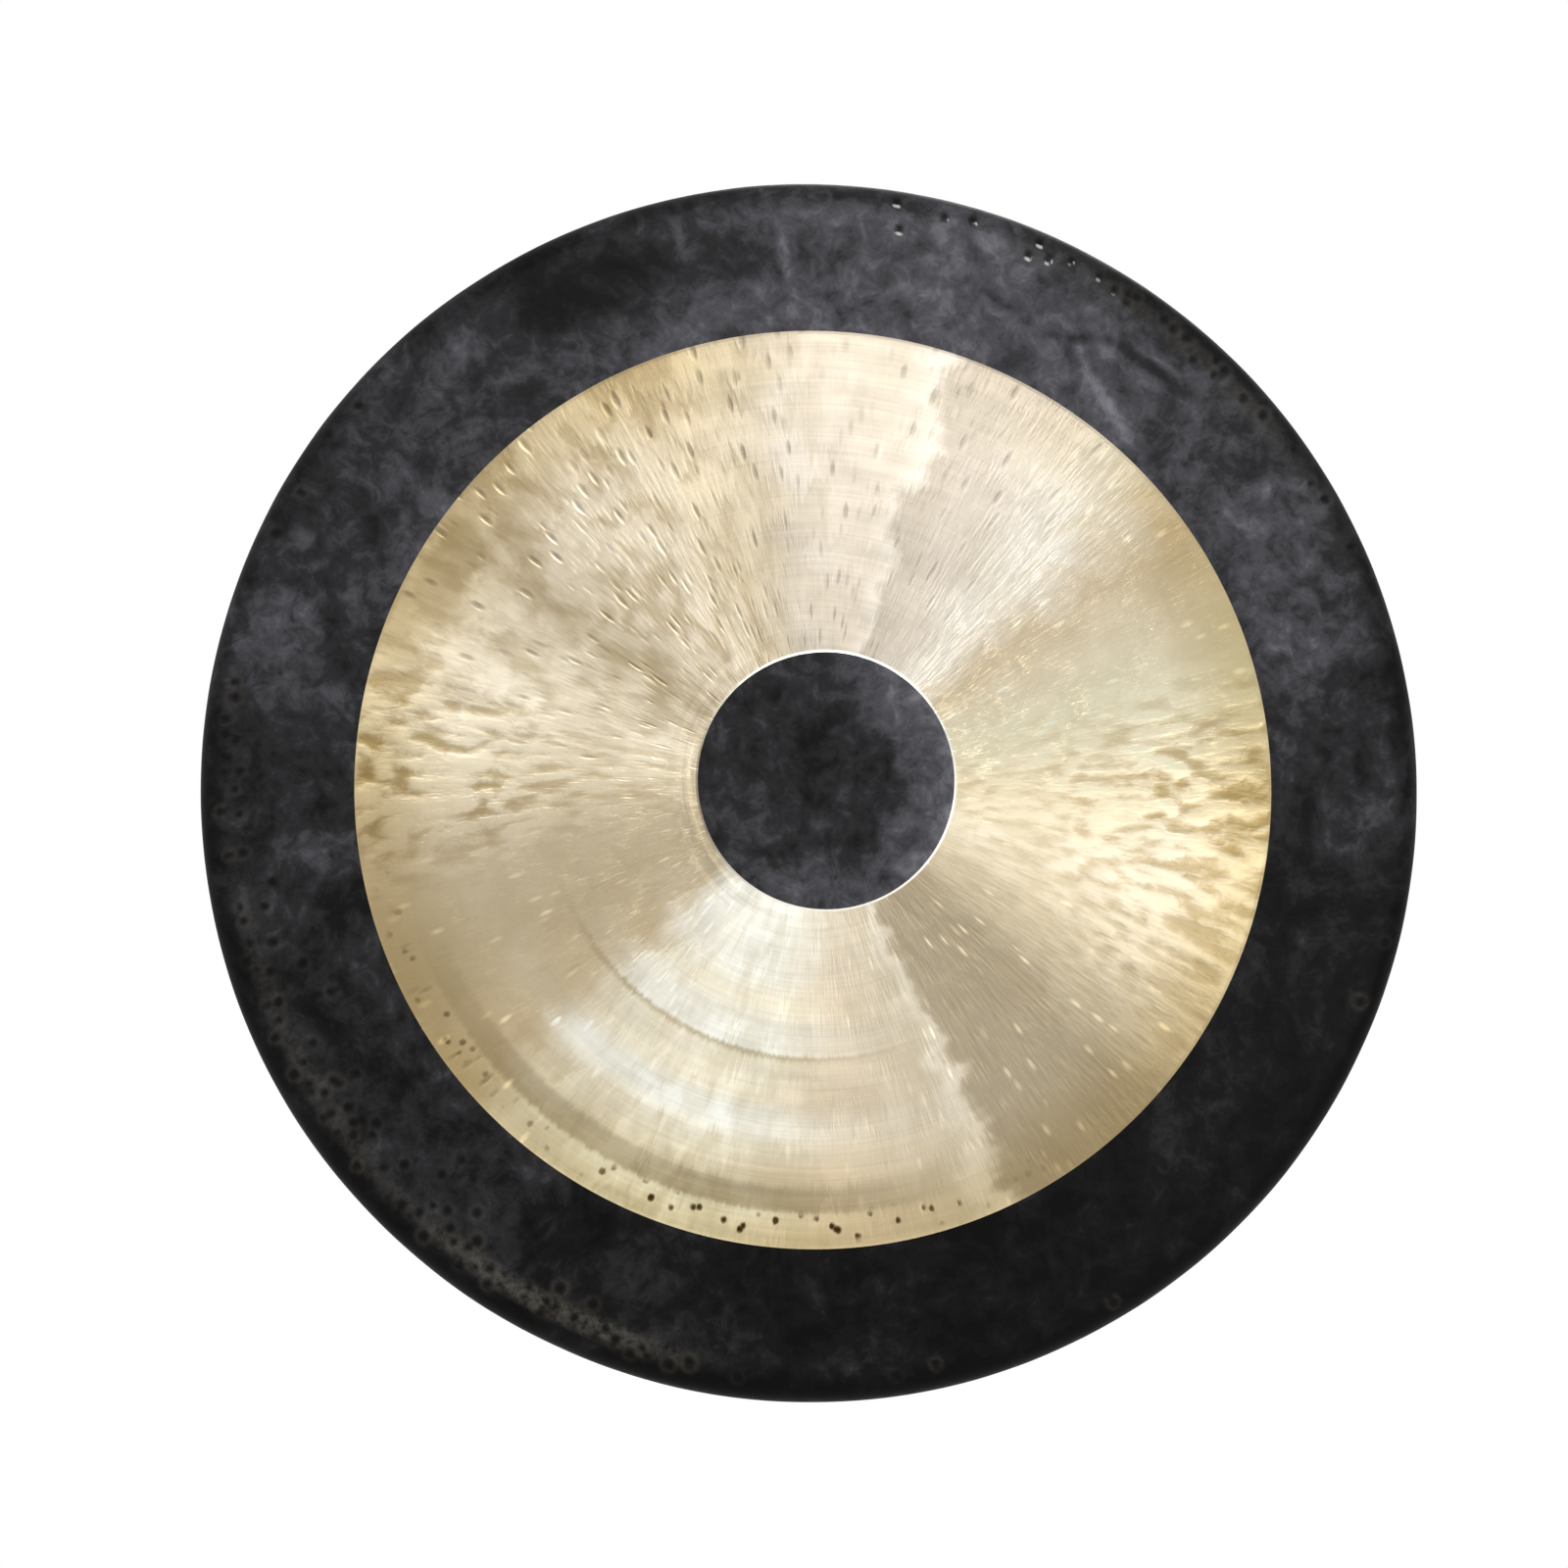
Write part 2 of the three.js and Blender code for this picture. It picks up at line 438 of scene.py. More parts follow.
# Darker and paler spots and wipes of the band, at places in mm from the gong's centre.
pale_tone_and_painted_light -= 0.36 * spot(-158, 327, 90, 48)
pale_tone_and_painted_light -= 0.16 * spot(-60, 350, 130, 26)
pale_tone_and_painted_light += 0.30 * smear(174, 288, 214, 216, 7)
pale_tone_and_painted_light += 0.22 * smear(-24, 372, -16, 330, 6)
pale_tone_and_painted_light += 0.20 * smear(-92, 372, -84, 338, 6)
pale_tone_and_painted_light += 0.14 * smear(-150, 300, -118, 316, 12)
pale_tone_and_painted_light += 0.14 * smear(310, 70, 322, 10, 14)
pale_tone_and_painted_light += 0.12 * spot(262, 272, 24, 15)
pale_tone_and_painted_light -= 0.22 * smear(101, 335, 154, 299, 5)
pale_tone_and_painted_light -= 0.20 * smear(150, 299, 204, 295, 5)
pale_tone_and_painted_light -= 0.26 * smear(190, 300, 256, 255, 7)
store("pale_tone_and_painted_light", pale_tone_and_painted_light)
# Handling wore the scale thin along two strips by the rim, at the lower left and upper right.
rubbed = smooth(368 * MM, 376 * MM, out) * (1 - smooth(382 * MM, 388 * MM, out))
rubbed *= np.clip(1.3 * towards(243, 20) + 0.4 * towards(212, 40), 0, 1)
upper_strip = smooth(372 * MM, 380 * MM, out) * (1 - smooth(386 * MM, 394 * MM, out))
rubbed += 0.35 * upper_strip * towards(48, 36)
store("rubbed", rubbed)

scale = bpy.data.materials.new("forging_scale")
scale.use_nodes = True
t = scale.node_tree
t.nodes.clear()
coordinates = add(t, "TexCoord").outputs["Object"]
place = add(t, "VectorMath", {0: coordinates, 1: centre}, operation="SUBTRACT")
over = add(t, "Attribute", attribute_name="behind").outputs["Fac"]
over = add(t, "Math", {0: over, 1: -back_turn}, operation="MULTIPLY")
place = add(t, "VectorRotate", {"Vector": place, "Axis": (0, 1, 0), "Angle": over})
# Smoke clouds 70 mm wide, mottling of 14 mm inside them, and creases 45 mm long.
clouds = add(t, "TexNoise", {
    "Vector": place, "Scale": 1 / (70 * MM), "Detail": 7.0, "Roughness": 0.66, "Distortion": 0.9})
mottle = add(t, "TexNoise", {
    "Vector": place, "Scale": 1 / (14 * MM), "Detail": 5.0, "Roughness": 0.68, "Distortion": 0.5})
veins = add(t, "TexNoise", {
    "Vector": place, "Scale": 1 / (45 * MM), "Detail": 4.0, "Roughness": 0.6, "Distortion": 1.2},
    noise_type="RIDGED_MULTIFRACTAL")
# The scale's own tone, with painted light from above and painted shade over the bend.
start = add(t, "Attribute", attribute_name="pale_tone_and_painted_light").outputs["Fac"]
tone = add(t, "Math", {0: clouds.outputs[0], 1: 1.05, 2: start}, operation="MULTIPLY_ADD")
tone = add(t, "Math", {0: mottle.outputs[0], 1: 0.85, 2: tone}, operation="MULTIPLY_ADD")
tone = add(t, "Math", {0: veins.outputs[0], 1: -0.12, 2: tone}, operation="MULTIPLY_ADD")
tone = add(t, "Math", {0: tone, 1: 0.85}, operation="SUBTRACT")
colour = add(t, "ValToRGB", {0: tone}, stops=[
    (0.0, "#040404"), (1.0, "#74737A"), (0.22, "#111112"), (0.45, "#272729"), (0.70, "#49484D")])
# Brown where the scale is thin, in flecks of 5 mm and less between the punch marks.
flecks = add(t, "TexNoise", {
    "Vector": place, "Scale": 1 / (5 * MM), "Detail": 5.0, "Roughness": 0.75})
flecked = add(t, "MapRange", {0: flecks.outputs[0], 1: 0.36, 2: 0.66})
amount = add(t, "Attribute", attribute_name="rubbed").outputs["Fac"]
amount = add(t, "Math", {0: flecked, 1: amount}, operation="MULTIPLY")
worn = add(t, "Mix", {0: amount, 6: colour, 7: linear("#4E4B44")}, data_type="RGBA")
# Each punch mark has a brown lip and a black bowl, and those near the top have a painted highlight
# on their lower lip, where the lamp above catches them.
lip_amount = add(t, "Attribute", attribute_name="punch_lip").outputs["Fac"]
lip_amount = add(t, "Math", {0: lip_amount, 1: 0.30}, operation="MULTIPLY")
ringed = add(t, "Mix", {0: lip_amount, 6: worn.outputs[2], 7: linear("#4A443C")}, data_type="RGBA")
bowl_amount = add(t, "Attribute", attribute_name="punch_bowl").outputs["Fac"]
bowl_amount = add(t, "MapRange", {0: bowl_amount, 1: 0.05, 2: 0.85, 4: 0.9})
sunk = add(t, "Mix", {0: bowl_amount, 6: ringed.outputs[2], 7: linear("#080808")}, data_type="RGBA")
lit = add(t, "Attribute", attribute_name="lit_lip").outputs["Fac"]
lit = add(t, "MapRange", {0: lit, 1: 0.3, 2: 0.8})
skin_colour = add(t, "Mix", {0: lit, 6: sunk.outputs[2], 7: linear("#B4B4B0")}, data_type="RGBA")
# The scale's tooth: its grains are far under a millimetre, drawn 2.2 mm wide so that they show.
tooth = add(t, "TexNoise", {
    "Vector": place, "Scale": 1 / (2.2 * MM), "Detail": 4.0, "Roughness": 0.7})
height = add(t, "Math", {0: mottle.outputs[0], 1: 2.0, 2: tooth.outputs[0]}, operation="MULTIPLY_ADD")
grain = add(t, "Bump", {"Height": height, "Distance": 0.2 * MM, "Strength": 0.5})
gloss = add(t, "MapRange", {0: mottle.outputs[0], 1: 0.3, 2: 0.7, 3: 0.40, 4: 0.6})
skin = add(t, "BsdfPrincipled", {
    "Base Color": skin_colour.outputs[2], "Roughness": gloss, "IOR": 1.44,
    "Specular IOR Level": 0.10, "Normal": grain})
add(t, "OutputMaterial", {"Surface": skin})

# ---------------------------------------------------------------------------------------
# Turned bronze. Between band and disc the scale is cut away by hand on a lathe with a hard
# scraper, which leaves bright metal in fine circular lines. To the eye it is pale gold that
# throws light in fans out from the centre, blotched and ticked where the hammer went deep.
# ---------------------------------------------------------------------------------------
bright = bpy.data.materials.new("turned_bronze")
bright.use_nodes = True
t = bright.node_tree
t.nodes.clear()
coordinates = add(t, "TexCoord").outputs["Object"]
place = add(t, "VectorMath", {0: coordinates, 1: centre}, operation="SUBTRACT")
real_place = add(t, "VectorMath", {0: place, 1: (1, 0, 1)}, operation="MULTIPLY")
over = add(t, "Attribute", attribute_name="behind").outputs["Fac"]
over = add(t, "Math", {0: over, 1: -back_turn}, operation="MULTIPLY")
flat_place = add(t, "VectorRotate", {"Vector": real_place, "Axis": (0, 1, 0), "Angle": over})
reach = add(t, "VectorMath", {0: flat_place}, operation="LENGTH").outputs["Value"]
way = add(t, "VectorMath", {0: flat_place}, operation="NORMALIZE")
axes = add(t, "SeparateXYZ", {0: way})


def polar(across, along, distance=None):
    """Where a pattern is, across wide at the ring's edge and along long outwards."""
    wide = add(t, "VectorMath", {0: way, 3: ring_radius / across}, operation="SCALE")
    deep = add(t, "Math", {0: distance or reach, 1: 1 / along}, operation="MULTIPLY")
    return add(t, "VectorMath", {0: wide, 1: add(t, "CombineXYZ", {1: deep})}, operation="ADD")


# How far round the gong a place is, from 0 at the right, over the top, to 1.
angle = add(t, "Math", {0: axes.outputs["Z"], 1: axes.outputs["X"]}, operation="ARCTAN2")
sweep = add(t, "Math", {0: angle, 1: 1 / (2 * math.pi), 2: 1.0}, operation="MULTIPLY_ADD")
sweep = add(t, "Math", {0: sweep}, operation="FRACT")

# How much of each mark there is, from 0 to 1: dull blotches, the scraper's circular track, ticks
# of the hammer, nicks with a painted glint, the arcs of deeper cuts, pits along the ring's edge, and
# tarnish.
blotched_parts = 0.12 + 0.62 * towards(132, 62) + 0.24 * towards(256, 50)
store("blotched", blotched_parts + 0.12 * towards(42, 34))
store("tracked", 0.10 + 0.75 * towards(82, 45) + 0.80 * towards(258, 55))
glinting_nick_parts = 0.2 + 1.3 * towards(312, 40) + 0.7 * towards(30, 40)
store("glinting_nicks", glinting_nick_parts + 0.9 * towards(215, 30))
store("arced", np.clip(1.4 * towards(246, 52), 0, 1))
edge_strip = smooth(276 * MM, 282 * MM, out) * (1 - smooth(292 * MM, 297 * MM, out))
ticked_parts = 0.12 + towards(134, 60) + 0.5 * towards(78, 40)
store("ticked", ticked_parts + 0.9 * edge_strip * towards(212, 34))
store("pitted", edge_strip * np.clip(1.6 * towards(264, 42) + 0.5 * towards(214, 30), 0, 1))
store("tarnished", smooth(225 * MM, 298 * MM, out) * (1 - 0.9 * towards(78, 45)))

# Scraper streaks 3.4 mm wide and 26 mm long. They also feather the edges of the blotches.
streaks = add(t, "TexNoise", {
    "Vector": polar(3.4 * MM, 26 * MM), "Scale": 1.0, "Detail": 4.0, "Roughness": 0.6})
track = add(t, "Attribute", attribute_name="tracked").outputs["Fac"]
feather = add(t, "Math", {0: track, 1: 0.055, 2: 0.012}, operation="MULTIPLY_ADD")
feathered = add(t, "Math", {
    0: feather, 1: streaks.outputs[0], 2: reach}, operation="MULTIPLY_ADD")
blotches = add(t, "TexNoise", {
    "Vector": polar(32 * MM, 34 * MM, feathered.outputs[0]), "Scale": 1.0, "Detail": 4.0,
    "Roughness": 0.56, "Distortion": 0.5})
blotch = add(t, "MapRange", {
    0: blotches.outputs[0], 1: 0.38, 2: 0.60}, interpolation_type="SMOOTHSTEP")
# Wrinkles left and right of the centre: folds 6.5 mm wide on the crests of the hammering.
wrinkles = add(t, "TexNoise", {
    "Vector": polar(6.5 * MM, 14 * MM), "Scale": 1.0, "Detail": 4.0, "Roughness": 0.6,
    "Distortion": 0.5})
crests = add(t, "Attribute", attribute_name="crest").outputs["Fac"]
folds = add(t, "Math", {0: wrinkles.outputs[0], 1: 0.5}, operation="SUBTRACT")
folds = add(t, "Math", {0: folds, 1: 1.5, 2: crests}, operation="MULTIPLY_ADD")
folds = add(t, "MapRange", {
    0: folds, 1: -0.65, 2: 0.50, 3: -0.5, 4: 0.5}, interpolation_type="SMOOTHSTEP")
wrinkled_amount = add(t, "Attribute", attribute_name="wrinkled").outputs["Fac"]
folds = add(t, "Math", {0: folds, 1: wrinkled_amount}, operation="MULTIPLY")
# Lathe lines: real ones are 0.3 mm apart, drawn here 2.2 mm and 17 mm apart so that they show.
fine_lines = add(t, "TexNoise", {
    "Vector": polar(240 * MM, 2.2 * MM), "Scale": 1.0, "Detail": 3.0, "Roughness": 0.75})
wide_lines = add(t, "TexNoise", {
    "Vector": polar(110 * MM, 17 * MM), "Scale": 1.0, "Detail": 4.0, "Roughness": 0.6})
# Ticks are the deepest hammer marks that the scraper left, 4 mm wide and up to 10 mm long. Each
# one's strength is its own, and some are nicks that caught the scraper and get a painted glint
# instead.
ticks = add(t, "TexVoronoi", {"Vector": polar(8 * MM, 19 * MM), "Scale": 1.0, "Randomness": 1.0})
tick = add(t, "MapRange", {
    0: ticks.outputs["Distance"], 1: 0.42, 2: 0.10}, interpolation_type="SMOOTHSTEP")
luck = add(t, "SeparateColor", {0: ticks.outputs["Color"]})
dark_one = add(t, "MapRange", {0: luck.outputs["Red"], 1: 0.35, 2: 0.9})
bright_one = add(t, "MapRange", {0: luck.outputs["Red"], 1: 0.34, 2: 0.08})
ticked = add(t, "Attribute", attribute_name="ticked").outputs["Fac"]
dark_one = add(t, "Math", {0: dark_one, 1: ticked}, operation="MULTIPLY")
tick_amount = add(t, "Math", {0: tick, 1: dark_one}, operation="MULTIPLY")
glinting_nicks = add(t, "Attribute", attribute_name="glinting_nicks").outputs["Fac"]
bright_one = add(t, "Math", {0: bright_one, 1: glinting_nicks}, operation="MULTIPLY")
# A painted glint on the nicks that caught the scraper.
nick_glint = add(t, "MapRange", {
    0: ticks.outputs["Distance"], 1: 0.36, 2: 0.08}, interpolation_type="SMOOTHSTEP")
nick_glint_amount = add(t, "Math", {0: nick_glint, 1: bright_one}, operation="MULTIPLY")
# Ragged pits about 4 mm wide along the ring's edge, where the punch went through the scale.
pits = add(t, "TexVoronoi", {"Vector": polar(10 * MM, 11 * MM), "Scale": 1.0, "Randomness": 1.0})
ragged = add(t, "Math", {
    0: streaks.outputs[0], 1: 0.30, 2: pits.outputs["Distance"]}, operation="MULTIPLY_ADD")
pit = add(t, "MapRange", {0: ragged, 1: 0.46, 2: 0.27}, interpolation_type="SMOOTHSTEP")
pitted = add(t, "Attribute", attribute_name="pitted").outputs["Fac"]
pit_amount = add(t, "Math", {0: pit, 1: pitted}, operation="MULTIPLY")

# On a real gong these fans are mostly lamps mirrored in the lathe lines. The anisotropy below
# gives part of that, and this colour by direction stands in for the rest: silvery at the top,
# cream at the right, and duller tan to the lower left and lower right. It was fitted to average
# colours in each direction, and it stays put when the gong or a lamp turns. The edges of the
# fans step in and out every 25 mm or so.
steps = add(t, "TexNoise", {
    "Vector": polar(130 * MM, 25 * MM), "Scale": 1.0, "Detail": 2.0, "Roughness": 0.5})
wander = add(t, "Math", {0: steps.outputs[0], 1: 0.036, 2: sweep}, operation="MULTIPLY_ADD")
wander = add(t, "Math", {0: blotches.outputs[0], 1: 0.024, 2: wander}, operation="MULTIPLY_ADD")
wander = add(t, "Math", {0: streaks.outputs[0], 1: 0.005, 2: wander}, operation="MULTIPLY_ADD")
wander = add(t, "Math", {0: wander, 1: 0.0325}, operation="SUBTRACT")
fans = add(t, "ValToRGB", {0: add(t, "Math", {0: wander}, operation="FRACT")}, stops=[
    (0.0, "#FAEBC9"), (1.0, "#FAEBC9"), (0.045, "#FFF8DA"), (0.068, "#FFF4D8"),
    (0.095, "#F0DFC0"), (0.13, "#F8F3E8"),
    (0.155, "#D6CEC2"), (0.195, "#BAB1A4"), (0.203, "#DAD3C8"), (0.213, "#CEC5B7"), (0.265, "#CBC3B7"),
    (0.275, "#C2B8A6"), (0.31, "#D0C3AA"), (0.36, "#F2E6D1"), (0.405, "#D0C3A9"), (0.455, "#FAEFD8"),
    (0.495, "#F4E6C8"), (0.518, "#E6D6B8"), (0.57, "#D9C9A9"), (0.61, "#E2D3B6"), (0.636, "#FFFDF2"),
    (0.72, "#FFFFF6"), (0.76, "#EEE3D0"), (0.806, "#DCD1BB"), (0.817, "#F0E7D5"), (0.822, "#E8DDC8"),
    (0.825, "#B9AC94"), (0.88, "#BAAC92"), (0.925, "#DACCB0"), (0.96, "#F6EACF")])
blotched = add(t, "Attribute", attribute_name="blotched").outputs["Fac"]
dull = add(t, "Math", {0: 1.0, 1: blotch}, operation="SUBTRACT")
dull = add(t, "Math", {0: dull, 1: blotched}, operation="MULTIPLY")
tinted = add(t, "Mix", {0: dull, 6: linear("#FFFFFF"), 7: linear("#CDC4B0")}, data_type="RGBA")
tinted = add(t, "Mix", {
    0: 1.0, 6: fans, 7: tinted.outputs[2]}, data_type="RGBA", blend_type="MULTIPLY")
# Arcs that a deeper cut left, by their distance out, from the disc's edge at 0 to the ring's
# at 1. The streaks fray them by up to 7 mm.
fray = 7 * MM
cut_at = add(t, "Math", {0: streaks.outputs[0], 1: fray, 2: reach}, operation="MULTIPLY_ADD")
cut_at = add(t, "MapRange", {0: cut_at, 1: disc_radius + fray / 2, 2: ring_radius + fray / 2})
cuts = add(t, "ValToRGB", {0: cut_at}, stops=[
    (0.0, "#FFFFFF"), (1.0, "#F8F2E4"), (0.19, "#FFFFFF"), (0.27, "#FAF4E8"), (0.36, "#FFFFFF"),
    (0.415, "#FFFFFF"), (0.430, "#CFC6B2"), (0.447, "#F6F0E4"), (0.56, "#F6F0E4"), (0.61, "#FFFFFF"),
    (0.655, "#FFFFFF"), (0.70, "#F8F2E6"), (0.805, "#F4ECDC"), (0.825, "#D0C7B6"), (0.885, "#CCC3B0"),
    (0.900, "#FFFDF4")])
arced = add(t, "Attribute", attribute_name="arced").outputs["Fac"]
cut_tint = add(t, "Mix", {
    0: 1.0, 6: tinted.outputs[2], 7: cuts}, data_type="RGBA", blend_type="MULTIPLY")
tinted = add(t, "Mix", {
    0: arced, 6: tinted.outputs[2], 7: cut_tint.outputs[2]}, data_type="RGBA")
# Every mark darkens or brightens the metal a little. On the folds this is painted light: brighter
# on their crests as painted highlight and darker in their hollows as painted shade. The nicks get a
# painted glint.
arcs = add(t, "Math", {0: wide_lines.outputs[0], 1: 0.5}, operation="SUBTRACT")
arcs = add(t, "Math", {0: arcs, 1: 0.65}, operation="MULTIPLY")
lines = add(t, "Math", {0: fine_lines.outputs[0], 1: 0.5}, operation="SUBTRACT")
arcs = add(t, "Math", {0: lines, 1: 0.45, 2: arcs}, operation="MULTIPLY_ADD")
shade = add(t, "Math", {0: arcs, 1: track}, operation="MULTIPLY")
shade = add(t, "Math", {0: folds, 1: 0.30, 2: shade}, operation="MULTIPLY_ADD")
shade = add(t, "Math", {0: tick_amount, 1: -0.42, 2: shade}, operation="MULTIPLY_ADD")
shade = add(t, "Math", {0: pit_amount, 1: -0.85, 2: shade}, operation="MULTIPLY_ADD")
shade = add(t, "Math", {0: nick_glint_amount, 1: 0.6, 2: shade}, operation="MULTIPLY_ADD")
shade = add(t, "Math", {0: shade, 1: 1.0}, operation="ADD")
# The hollows of the wrinkles get a brown painted shade, and the pits and the ring's outer part
# hold brown tarnish.
painted_hollow_shade = add(t, "MapRange", {0: folds, 1: 0.10, 2: -0.5})
tarnished = add(t, "Attribute", attribute_name="tarnished").outputs["Fac"]
for where, brown in ((painted_hollow_shade, "#DACDAF"), (pit_amount, "#AE9468"), (tarnished, "#E4DCC6")):
    tarnish_and_shade = add(t, "Mix", {0: where, 6: linear("#FFFFFF"), 7: linear(brown)}, data_type="RGBA")
    tinted = add(t, "Mix", {
        0: 1.0, 6: tinted.outputs[2], 7: tarnish_and_shade.outputs[2]}, data_type="RGBA", blend_type="MULTIPLY")
shaded = add(t, "VectorMath", {0: tinted.outputs[2], 3: shade}, operation="SCALE")
# The disc's filed edge has a painted highlight, a thin white line that is dull at the left. Tight
# arcs that the file left lie round it at the lower left.
disc_middle = (float(disc_offset[0]), 0, float(disc_offset[1]))
from_disc = add(t, "VectorMath", {0: real_place, 1: disc_middle}, operation="DISTANCE")
from_disc = from_disc.outputs["Value"]
file_arcs = add(t, "TexNoise", {
    "Vector": polar(300 * MM, 4 * MM, from_disc), "Scale": 1.0, "Detail": 2.0, "Roughness": 0.6})
file_reach = add(t, "MapRange", {0: from_disc, 1: disc_radius + 24 * MM, 2: disc_radius + 4 * MM})
file_side = add(t, "MapRange", {0: axes.outputs["X"], 1: -0.1, 2: -0.75})
file_amount = add(t, "Math", {0: file_reach, 1: file_side}, operation="MULTIPLY")
file_arcs = add(t, "Math", {0: file_arcs.outputs[0], 1: 0.5}, operation="SUBTRACT")
file_arcs = add(t, "Math", {0: file_arcs, 1: file_amount}, operation="MULTIPLY")
file_arcs = add(t, "Math", {0: file_arcs, 1: 1.3, 2: 1.0}, operation="MULTIPLY_ADD")
shaded = add(t, "VectorMath", {0: shaded, 3: file_arcs}, operation="SCALE")
filed = add(t, "MapRange", {
    0: from_disc, 1: disc_radius + 0.7 * MM, 2: disc_radius}, interpolation_type="SMOOTHSTEP")
shine = add(t, "MapRange", {0: axes.outputs["X"], 1: -0.95, 2: -0.45})
painted_edge_highlight = add(t, "Mix", {0: shine, 6: linear("#A89C84"), 7: linear("#FFFBF0")}, data_type="RGBA")
shaded = add(t, "Mix", {0: filed, 6: shaded, 7: painted_edge_highlight.outputs[2]}, data_type="RGBA").outputs[2]
shaded = add(t, "VectorMath", {0: shaded, 1: (1, 1, 1)}, operation="MINIMUM")

# The same marks as relief, where a height of 1 is half a millimetre, drawn at half strength.
height = add(t, "Math", {0: streaks.outputs[0], 1: 0.6}, operation="MULTIPLY")
height = add(t, "Math", {0: fine_lines.outputs[0], 1: 0.16, 2: height}, operation="MULTIPLY_ADD")
height = add(t, "Math", {0: blotches.outputs[0], 1: 1.2, 2: height}, operation="MULTIPLY_ADD")
height = add(t, "Math", {0: folds, 1: 1.0, 2: height}, operation="MULTIPLY_ADD")
height = add(t, "Math", {0: tick_amount, 1: -1.2, 2: height}, operation="MULTIPLY_ADD")
height = add(t, "Math", {0: pit_amount, 1: -1.0, 2: height}, operation="MULTIPLY_ADD")
relief = add(t, "Bump", {"Height": height, "Distance": 0.5 * MM, "Strength": 0.5})
around = add(t, "Tangent", direction_type="RADIAL", axis="Y")
skin = add(t, "BsdfPrincipled", {
    "Base Color": shaded, "Metallic": 1.0, "Roughness": 0.36, "Anisotropic": 0.8,
    "Anisotropic Rotation": 0.25, "Tangent": around, "Normal": relief})
add(t, "OutputMaterial", {"Surface": skin})

sheet.materials.append(scale)
sheet.materials.append(bright)
slots = {"band": 0, "disc": 0, "bevel": 1, "ring": 1}
sheet.polygons.foreach_set("material_index", [slots[zone] for zone in zones])

# ---------------------------------------------------------------------------------------
# The hanging holes. Two holes are drilled through the flange near its top, one to each
# side, and the drill's burr is filed off, so each mouth is a little wider than the hole.
# ---------------------------------------------------------------------------------------
hole_radius = 5 * MM
hole_turn = math.radians(18)
hole_mouth = 0.7 * MM
hole_sides = 32


def drill(side):
    """A round cutter through one hanging hole, wider where it passes each face."""
    half, wide = thickness / 2, hole_radius + hole_mouth
    profile = (
        (-4 * half, wide + hole_mouth), (-half - 0.1 * MM, wide), (-half + hole_mouth, hole_radius),
        (half - hole_mouth, hole_radius), (half + 0.1 * MM, wide), (4 * half, wide + hole_mouth),
    )
    hole = Vector((side * math.tan(hole_turn) * -centre.z, 0, 0))
    direction = Vector((side * math.sin(hole_turn) * math.cos(lean), math.sin(lean),
                        math.cos(hole_turn) * math.cos(lean)))
    across = direction.orthogonal().normalized()
    up = direction.cross(across)
    shape = bmesh.new()
    loops = []
    for along, wide in profile:
        ring = [wide * (across * x + up * z) for x, z in round_points(hole_sides)]
        loops.append([shape.verts.new(hole + direction * along + at) for at in ring])
    for one, two in zip(loops, loops[1:]):
        for k in range(hole_sides):
            after = (k + 1) % hole_sides
            shape.faces.new((one[k], one[after], two[after], two[k]))
    shape.faces.new(loops[0][::-1])
    shape.faces.new(loops[-1])
    bmesh.ops.recalc_face_normals(shape, faces=shape.faces)
    mesh = bpy.data.meshes.new("drill")
    shape.to_mesh(mesh)
    shape.free()
    mesh.materials.append(scale)
    cutter = bpy.data.objects.new("drill", mesh)
    bpy.context.scene.collection.objects.link(cutter)
    return cutter


for side in (-1, 1):
    cutter = drill(side)
    cut = gong.modifiers.new("hole", "BOOLEAN")
    cut.operation = "DIFFERENCE"
    cut.solver = "EXACT"
    cut.object = cutter
    view = bpy.context.evaluated_depsgraph_get()
    done = bpy.data.meshes.new_from_object(gong.evaluated_get(view))
    gong.modifiers.clear()
    gong.data = done
    bpy.data.objects.remove(cutter)

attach(gong, "root")
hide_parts("gong_disc")

# ---------------------------------------------------------------------------------------
# The studio. The gong hangs over a pale paper floor in a white room, with a large soft lamp
# above and in front of it, softer ones to the right and the upper left, and one behind.
# ---------------------------------------------------------------------------------------
floor_gap = 300 * MM
floor_radius = 2.0
floor_sides = 96
floor = bpy.data.meshes.new("floor")
outline = round_points(floor_sides) * floor_radius
corners = [(x, y + centre.y, low.z - floor_gap) for x, y in outline]
floor.from_pydata(corners, [], [tuple(range(floor_sides))])
paper = bpy.data.materials.new("white_paper")
paper.use_nodes = True
paper.node_tree.nodes["Principled BSDF"].inputs["Base Color"].default_value = linear("#F2F2F0")
paper.node_tree.nodes["Principled BSDF"].inputs["Roughness"].default_value = 0.9
floor.materials.append(paper)
floor_piece = bpy.data.objects.new("floor", floor)
bpy.context.scene.collection.objects.link(floor_piece)


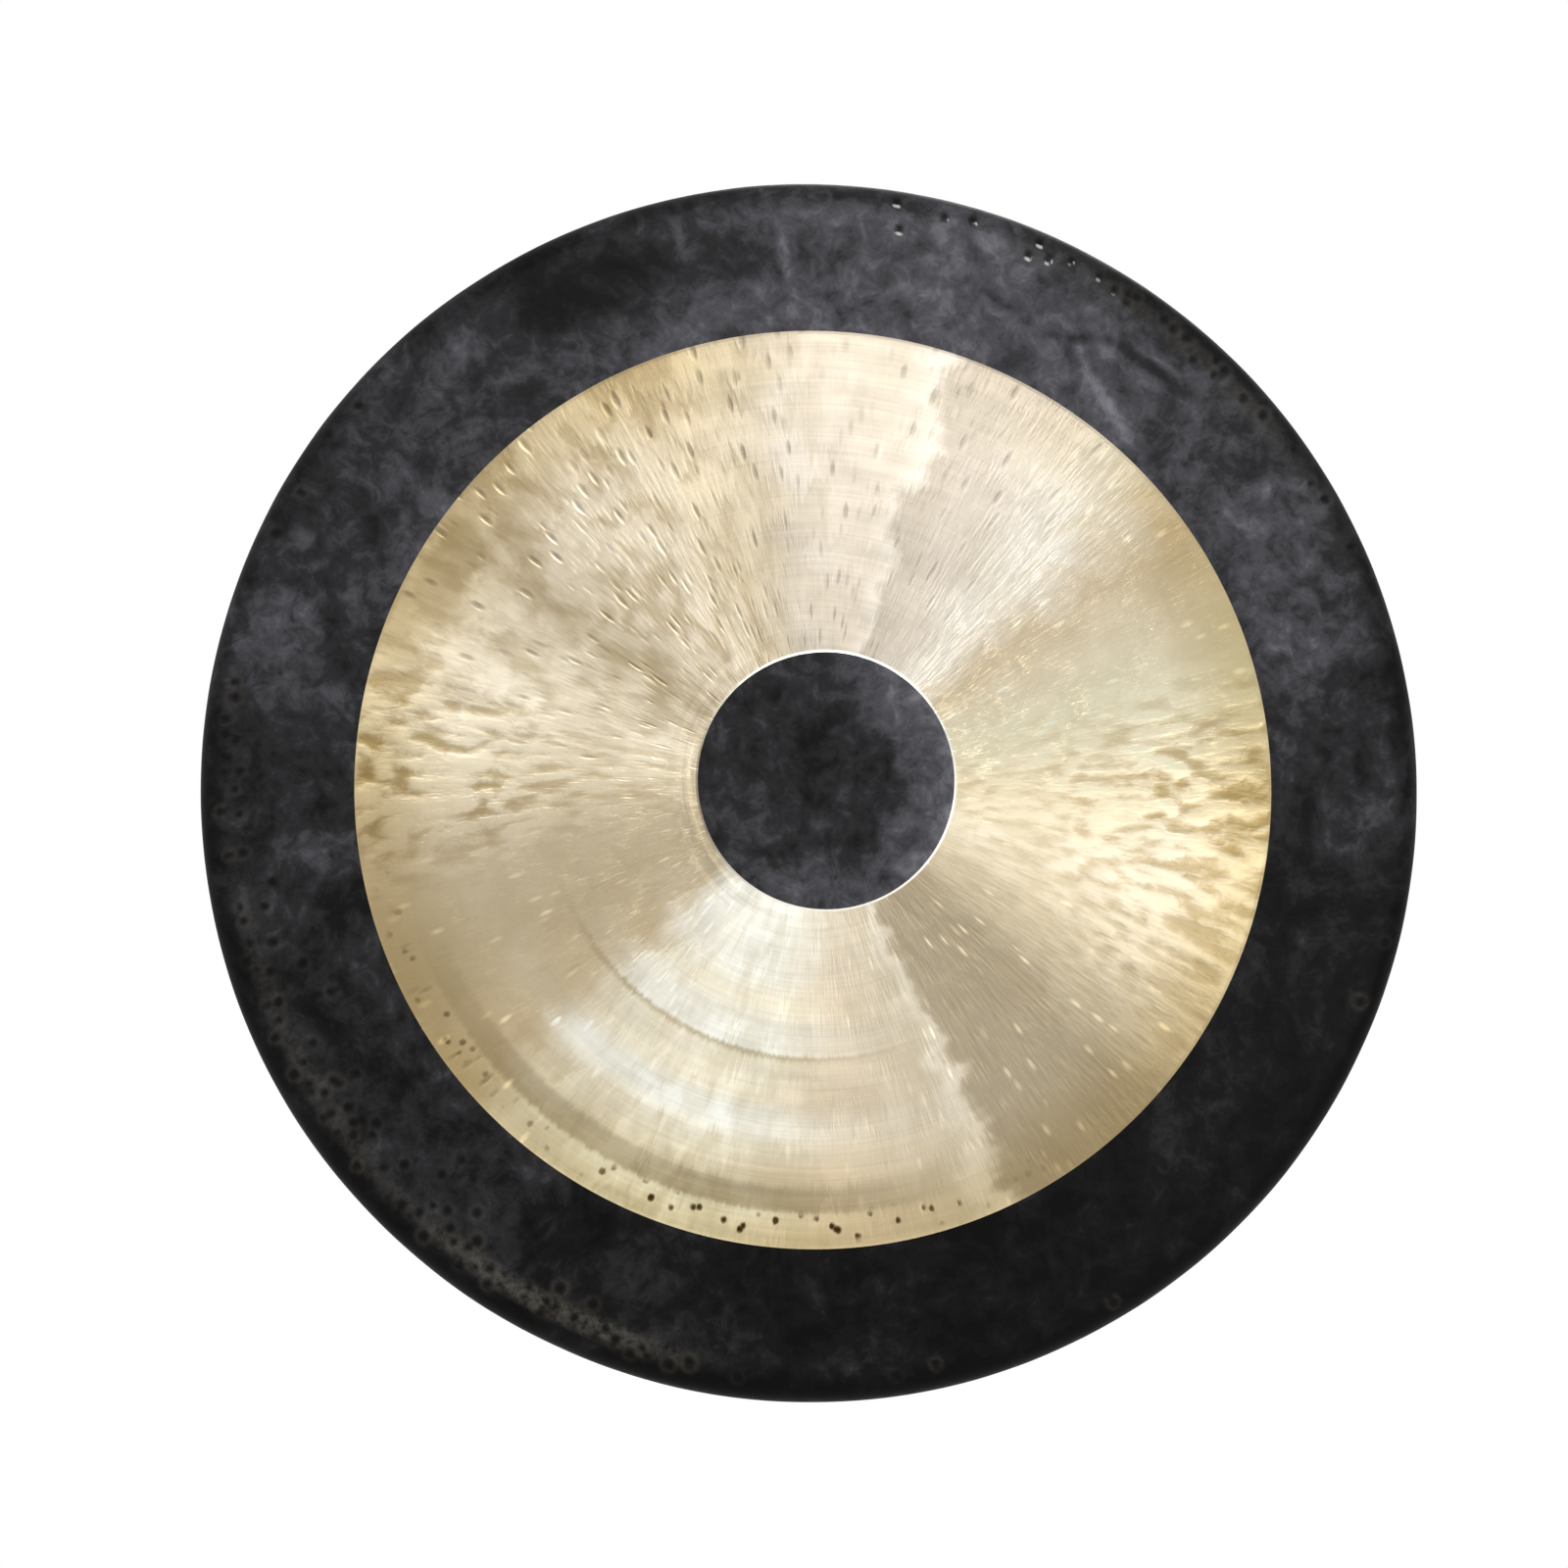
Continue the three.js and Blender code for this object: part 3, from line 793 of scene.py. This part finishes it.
def lamp(name, turn, off_axis, distance, width, height, power, facing=-1):
    """A soft lamp towards that direction round the gong, that many degrees off its axis."""
    turn, off_axis = math.radians(turn), math.radians(off_axis)
    light = bpy.data.lights.new(name, "AREA")
    light.shape = "RECTANGLE"
    light.size, light.size_y = width, height
    light.energy = power
    piece = bpy.data.objects.new(name, light)
    bpy.context.scene.collection.objects.link(piece)
    reach = distance * math.sin(off_axis)
    piece.location = centre + Vector((
        reach * math.cos(turn), facing * distance * math.cos(off_axis), reach * math.sin(turn)))
    piece.rotation_mode = "QUATERNION"
    piece.rotation_quaternion = (centre - piece.location).to_track_quat("-Z", "Y")
    piece.visible_camera = False


lamp("lamp_above", 76, 34, 2.2, 1.3, 0.6, 15)
lamp("lamp_right", -12, 36, 2.2, 0.6, 0.6, 5)
lamp("lamp_left", 148, 38, 2.2, 0.7, 0.6, 3.5)
lamp("lamp_behind", 70, 45, 2.2, 1.2, 0.8, 9, facing=1)

world = bpy.data.worlds.new("studio")
bpy.context.scene.world = world
world.use_nodes = True
t = world.node_tree
t.nodes.clear()
seen = add(t, "LightPath").outputs["Is Camera Ray"]
up = add(t, "SeparateXYZ", {0: add(t, "TexCoord").outputs["Generated"]}).outputs["Z"]
glow = add(t, "MapRange", {0: up, 1: -0.6, 2: 0.6, 3: 0.56, 4: 0.74})
room = add(t, "Background", {"Color": linear("#FFFFFF"), "Strength": glow})
backdrop = add(t, "Background", {"Color": linear("#FFFFFF"), "Strength": 1.0})
add(t, "OutputWorld", {"Surface": add(t, "MixShader", {0: seen, 1: room, 2: backdrop})})
bpy.context.scene.view_settings.view_transform = "Standard"

# The camera looks at the face from slightly left of it and slightly below, aimed a little
# left of the gong's centre and above it.
aim_off = Vector((-18.9 * MM, 0, 3.8 * MM))
view_side = math.radians(-4.3)
view_height = math.radians(-3.2)
view_distance = 4.0
view_width = 1.028
camera = bpy.data.cameras.new("camera")
camera.sensor_width = 36
camera.lens = camera.sensor_width * view_distance / view_width
eye = bpy.data.objects.new("camera", camera)
bpy.context.scene.collection.objects.link(eye)
back = Vector((math.sin(view_side) * math.cos(view_height),
               -math.cos(view_side) * math.cos(view_height), math.sin(view_height)))
eye.location = centre + aim_off + back * view_distance
eye.rotation_mode = "QUATERNION"
eye.rotation_quaternion = (-back).to_track_quat("-Z", "Y")
bpy.context.scene.camera = eye
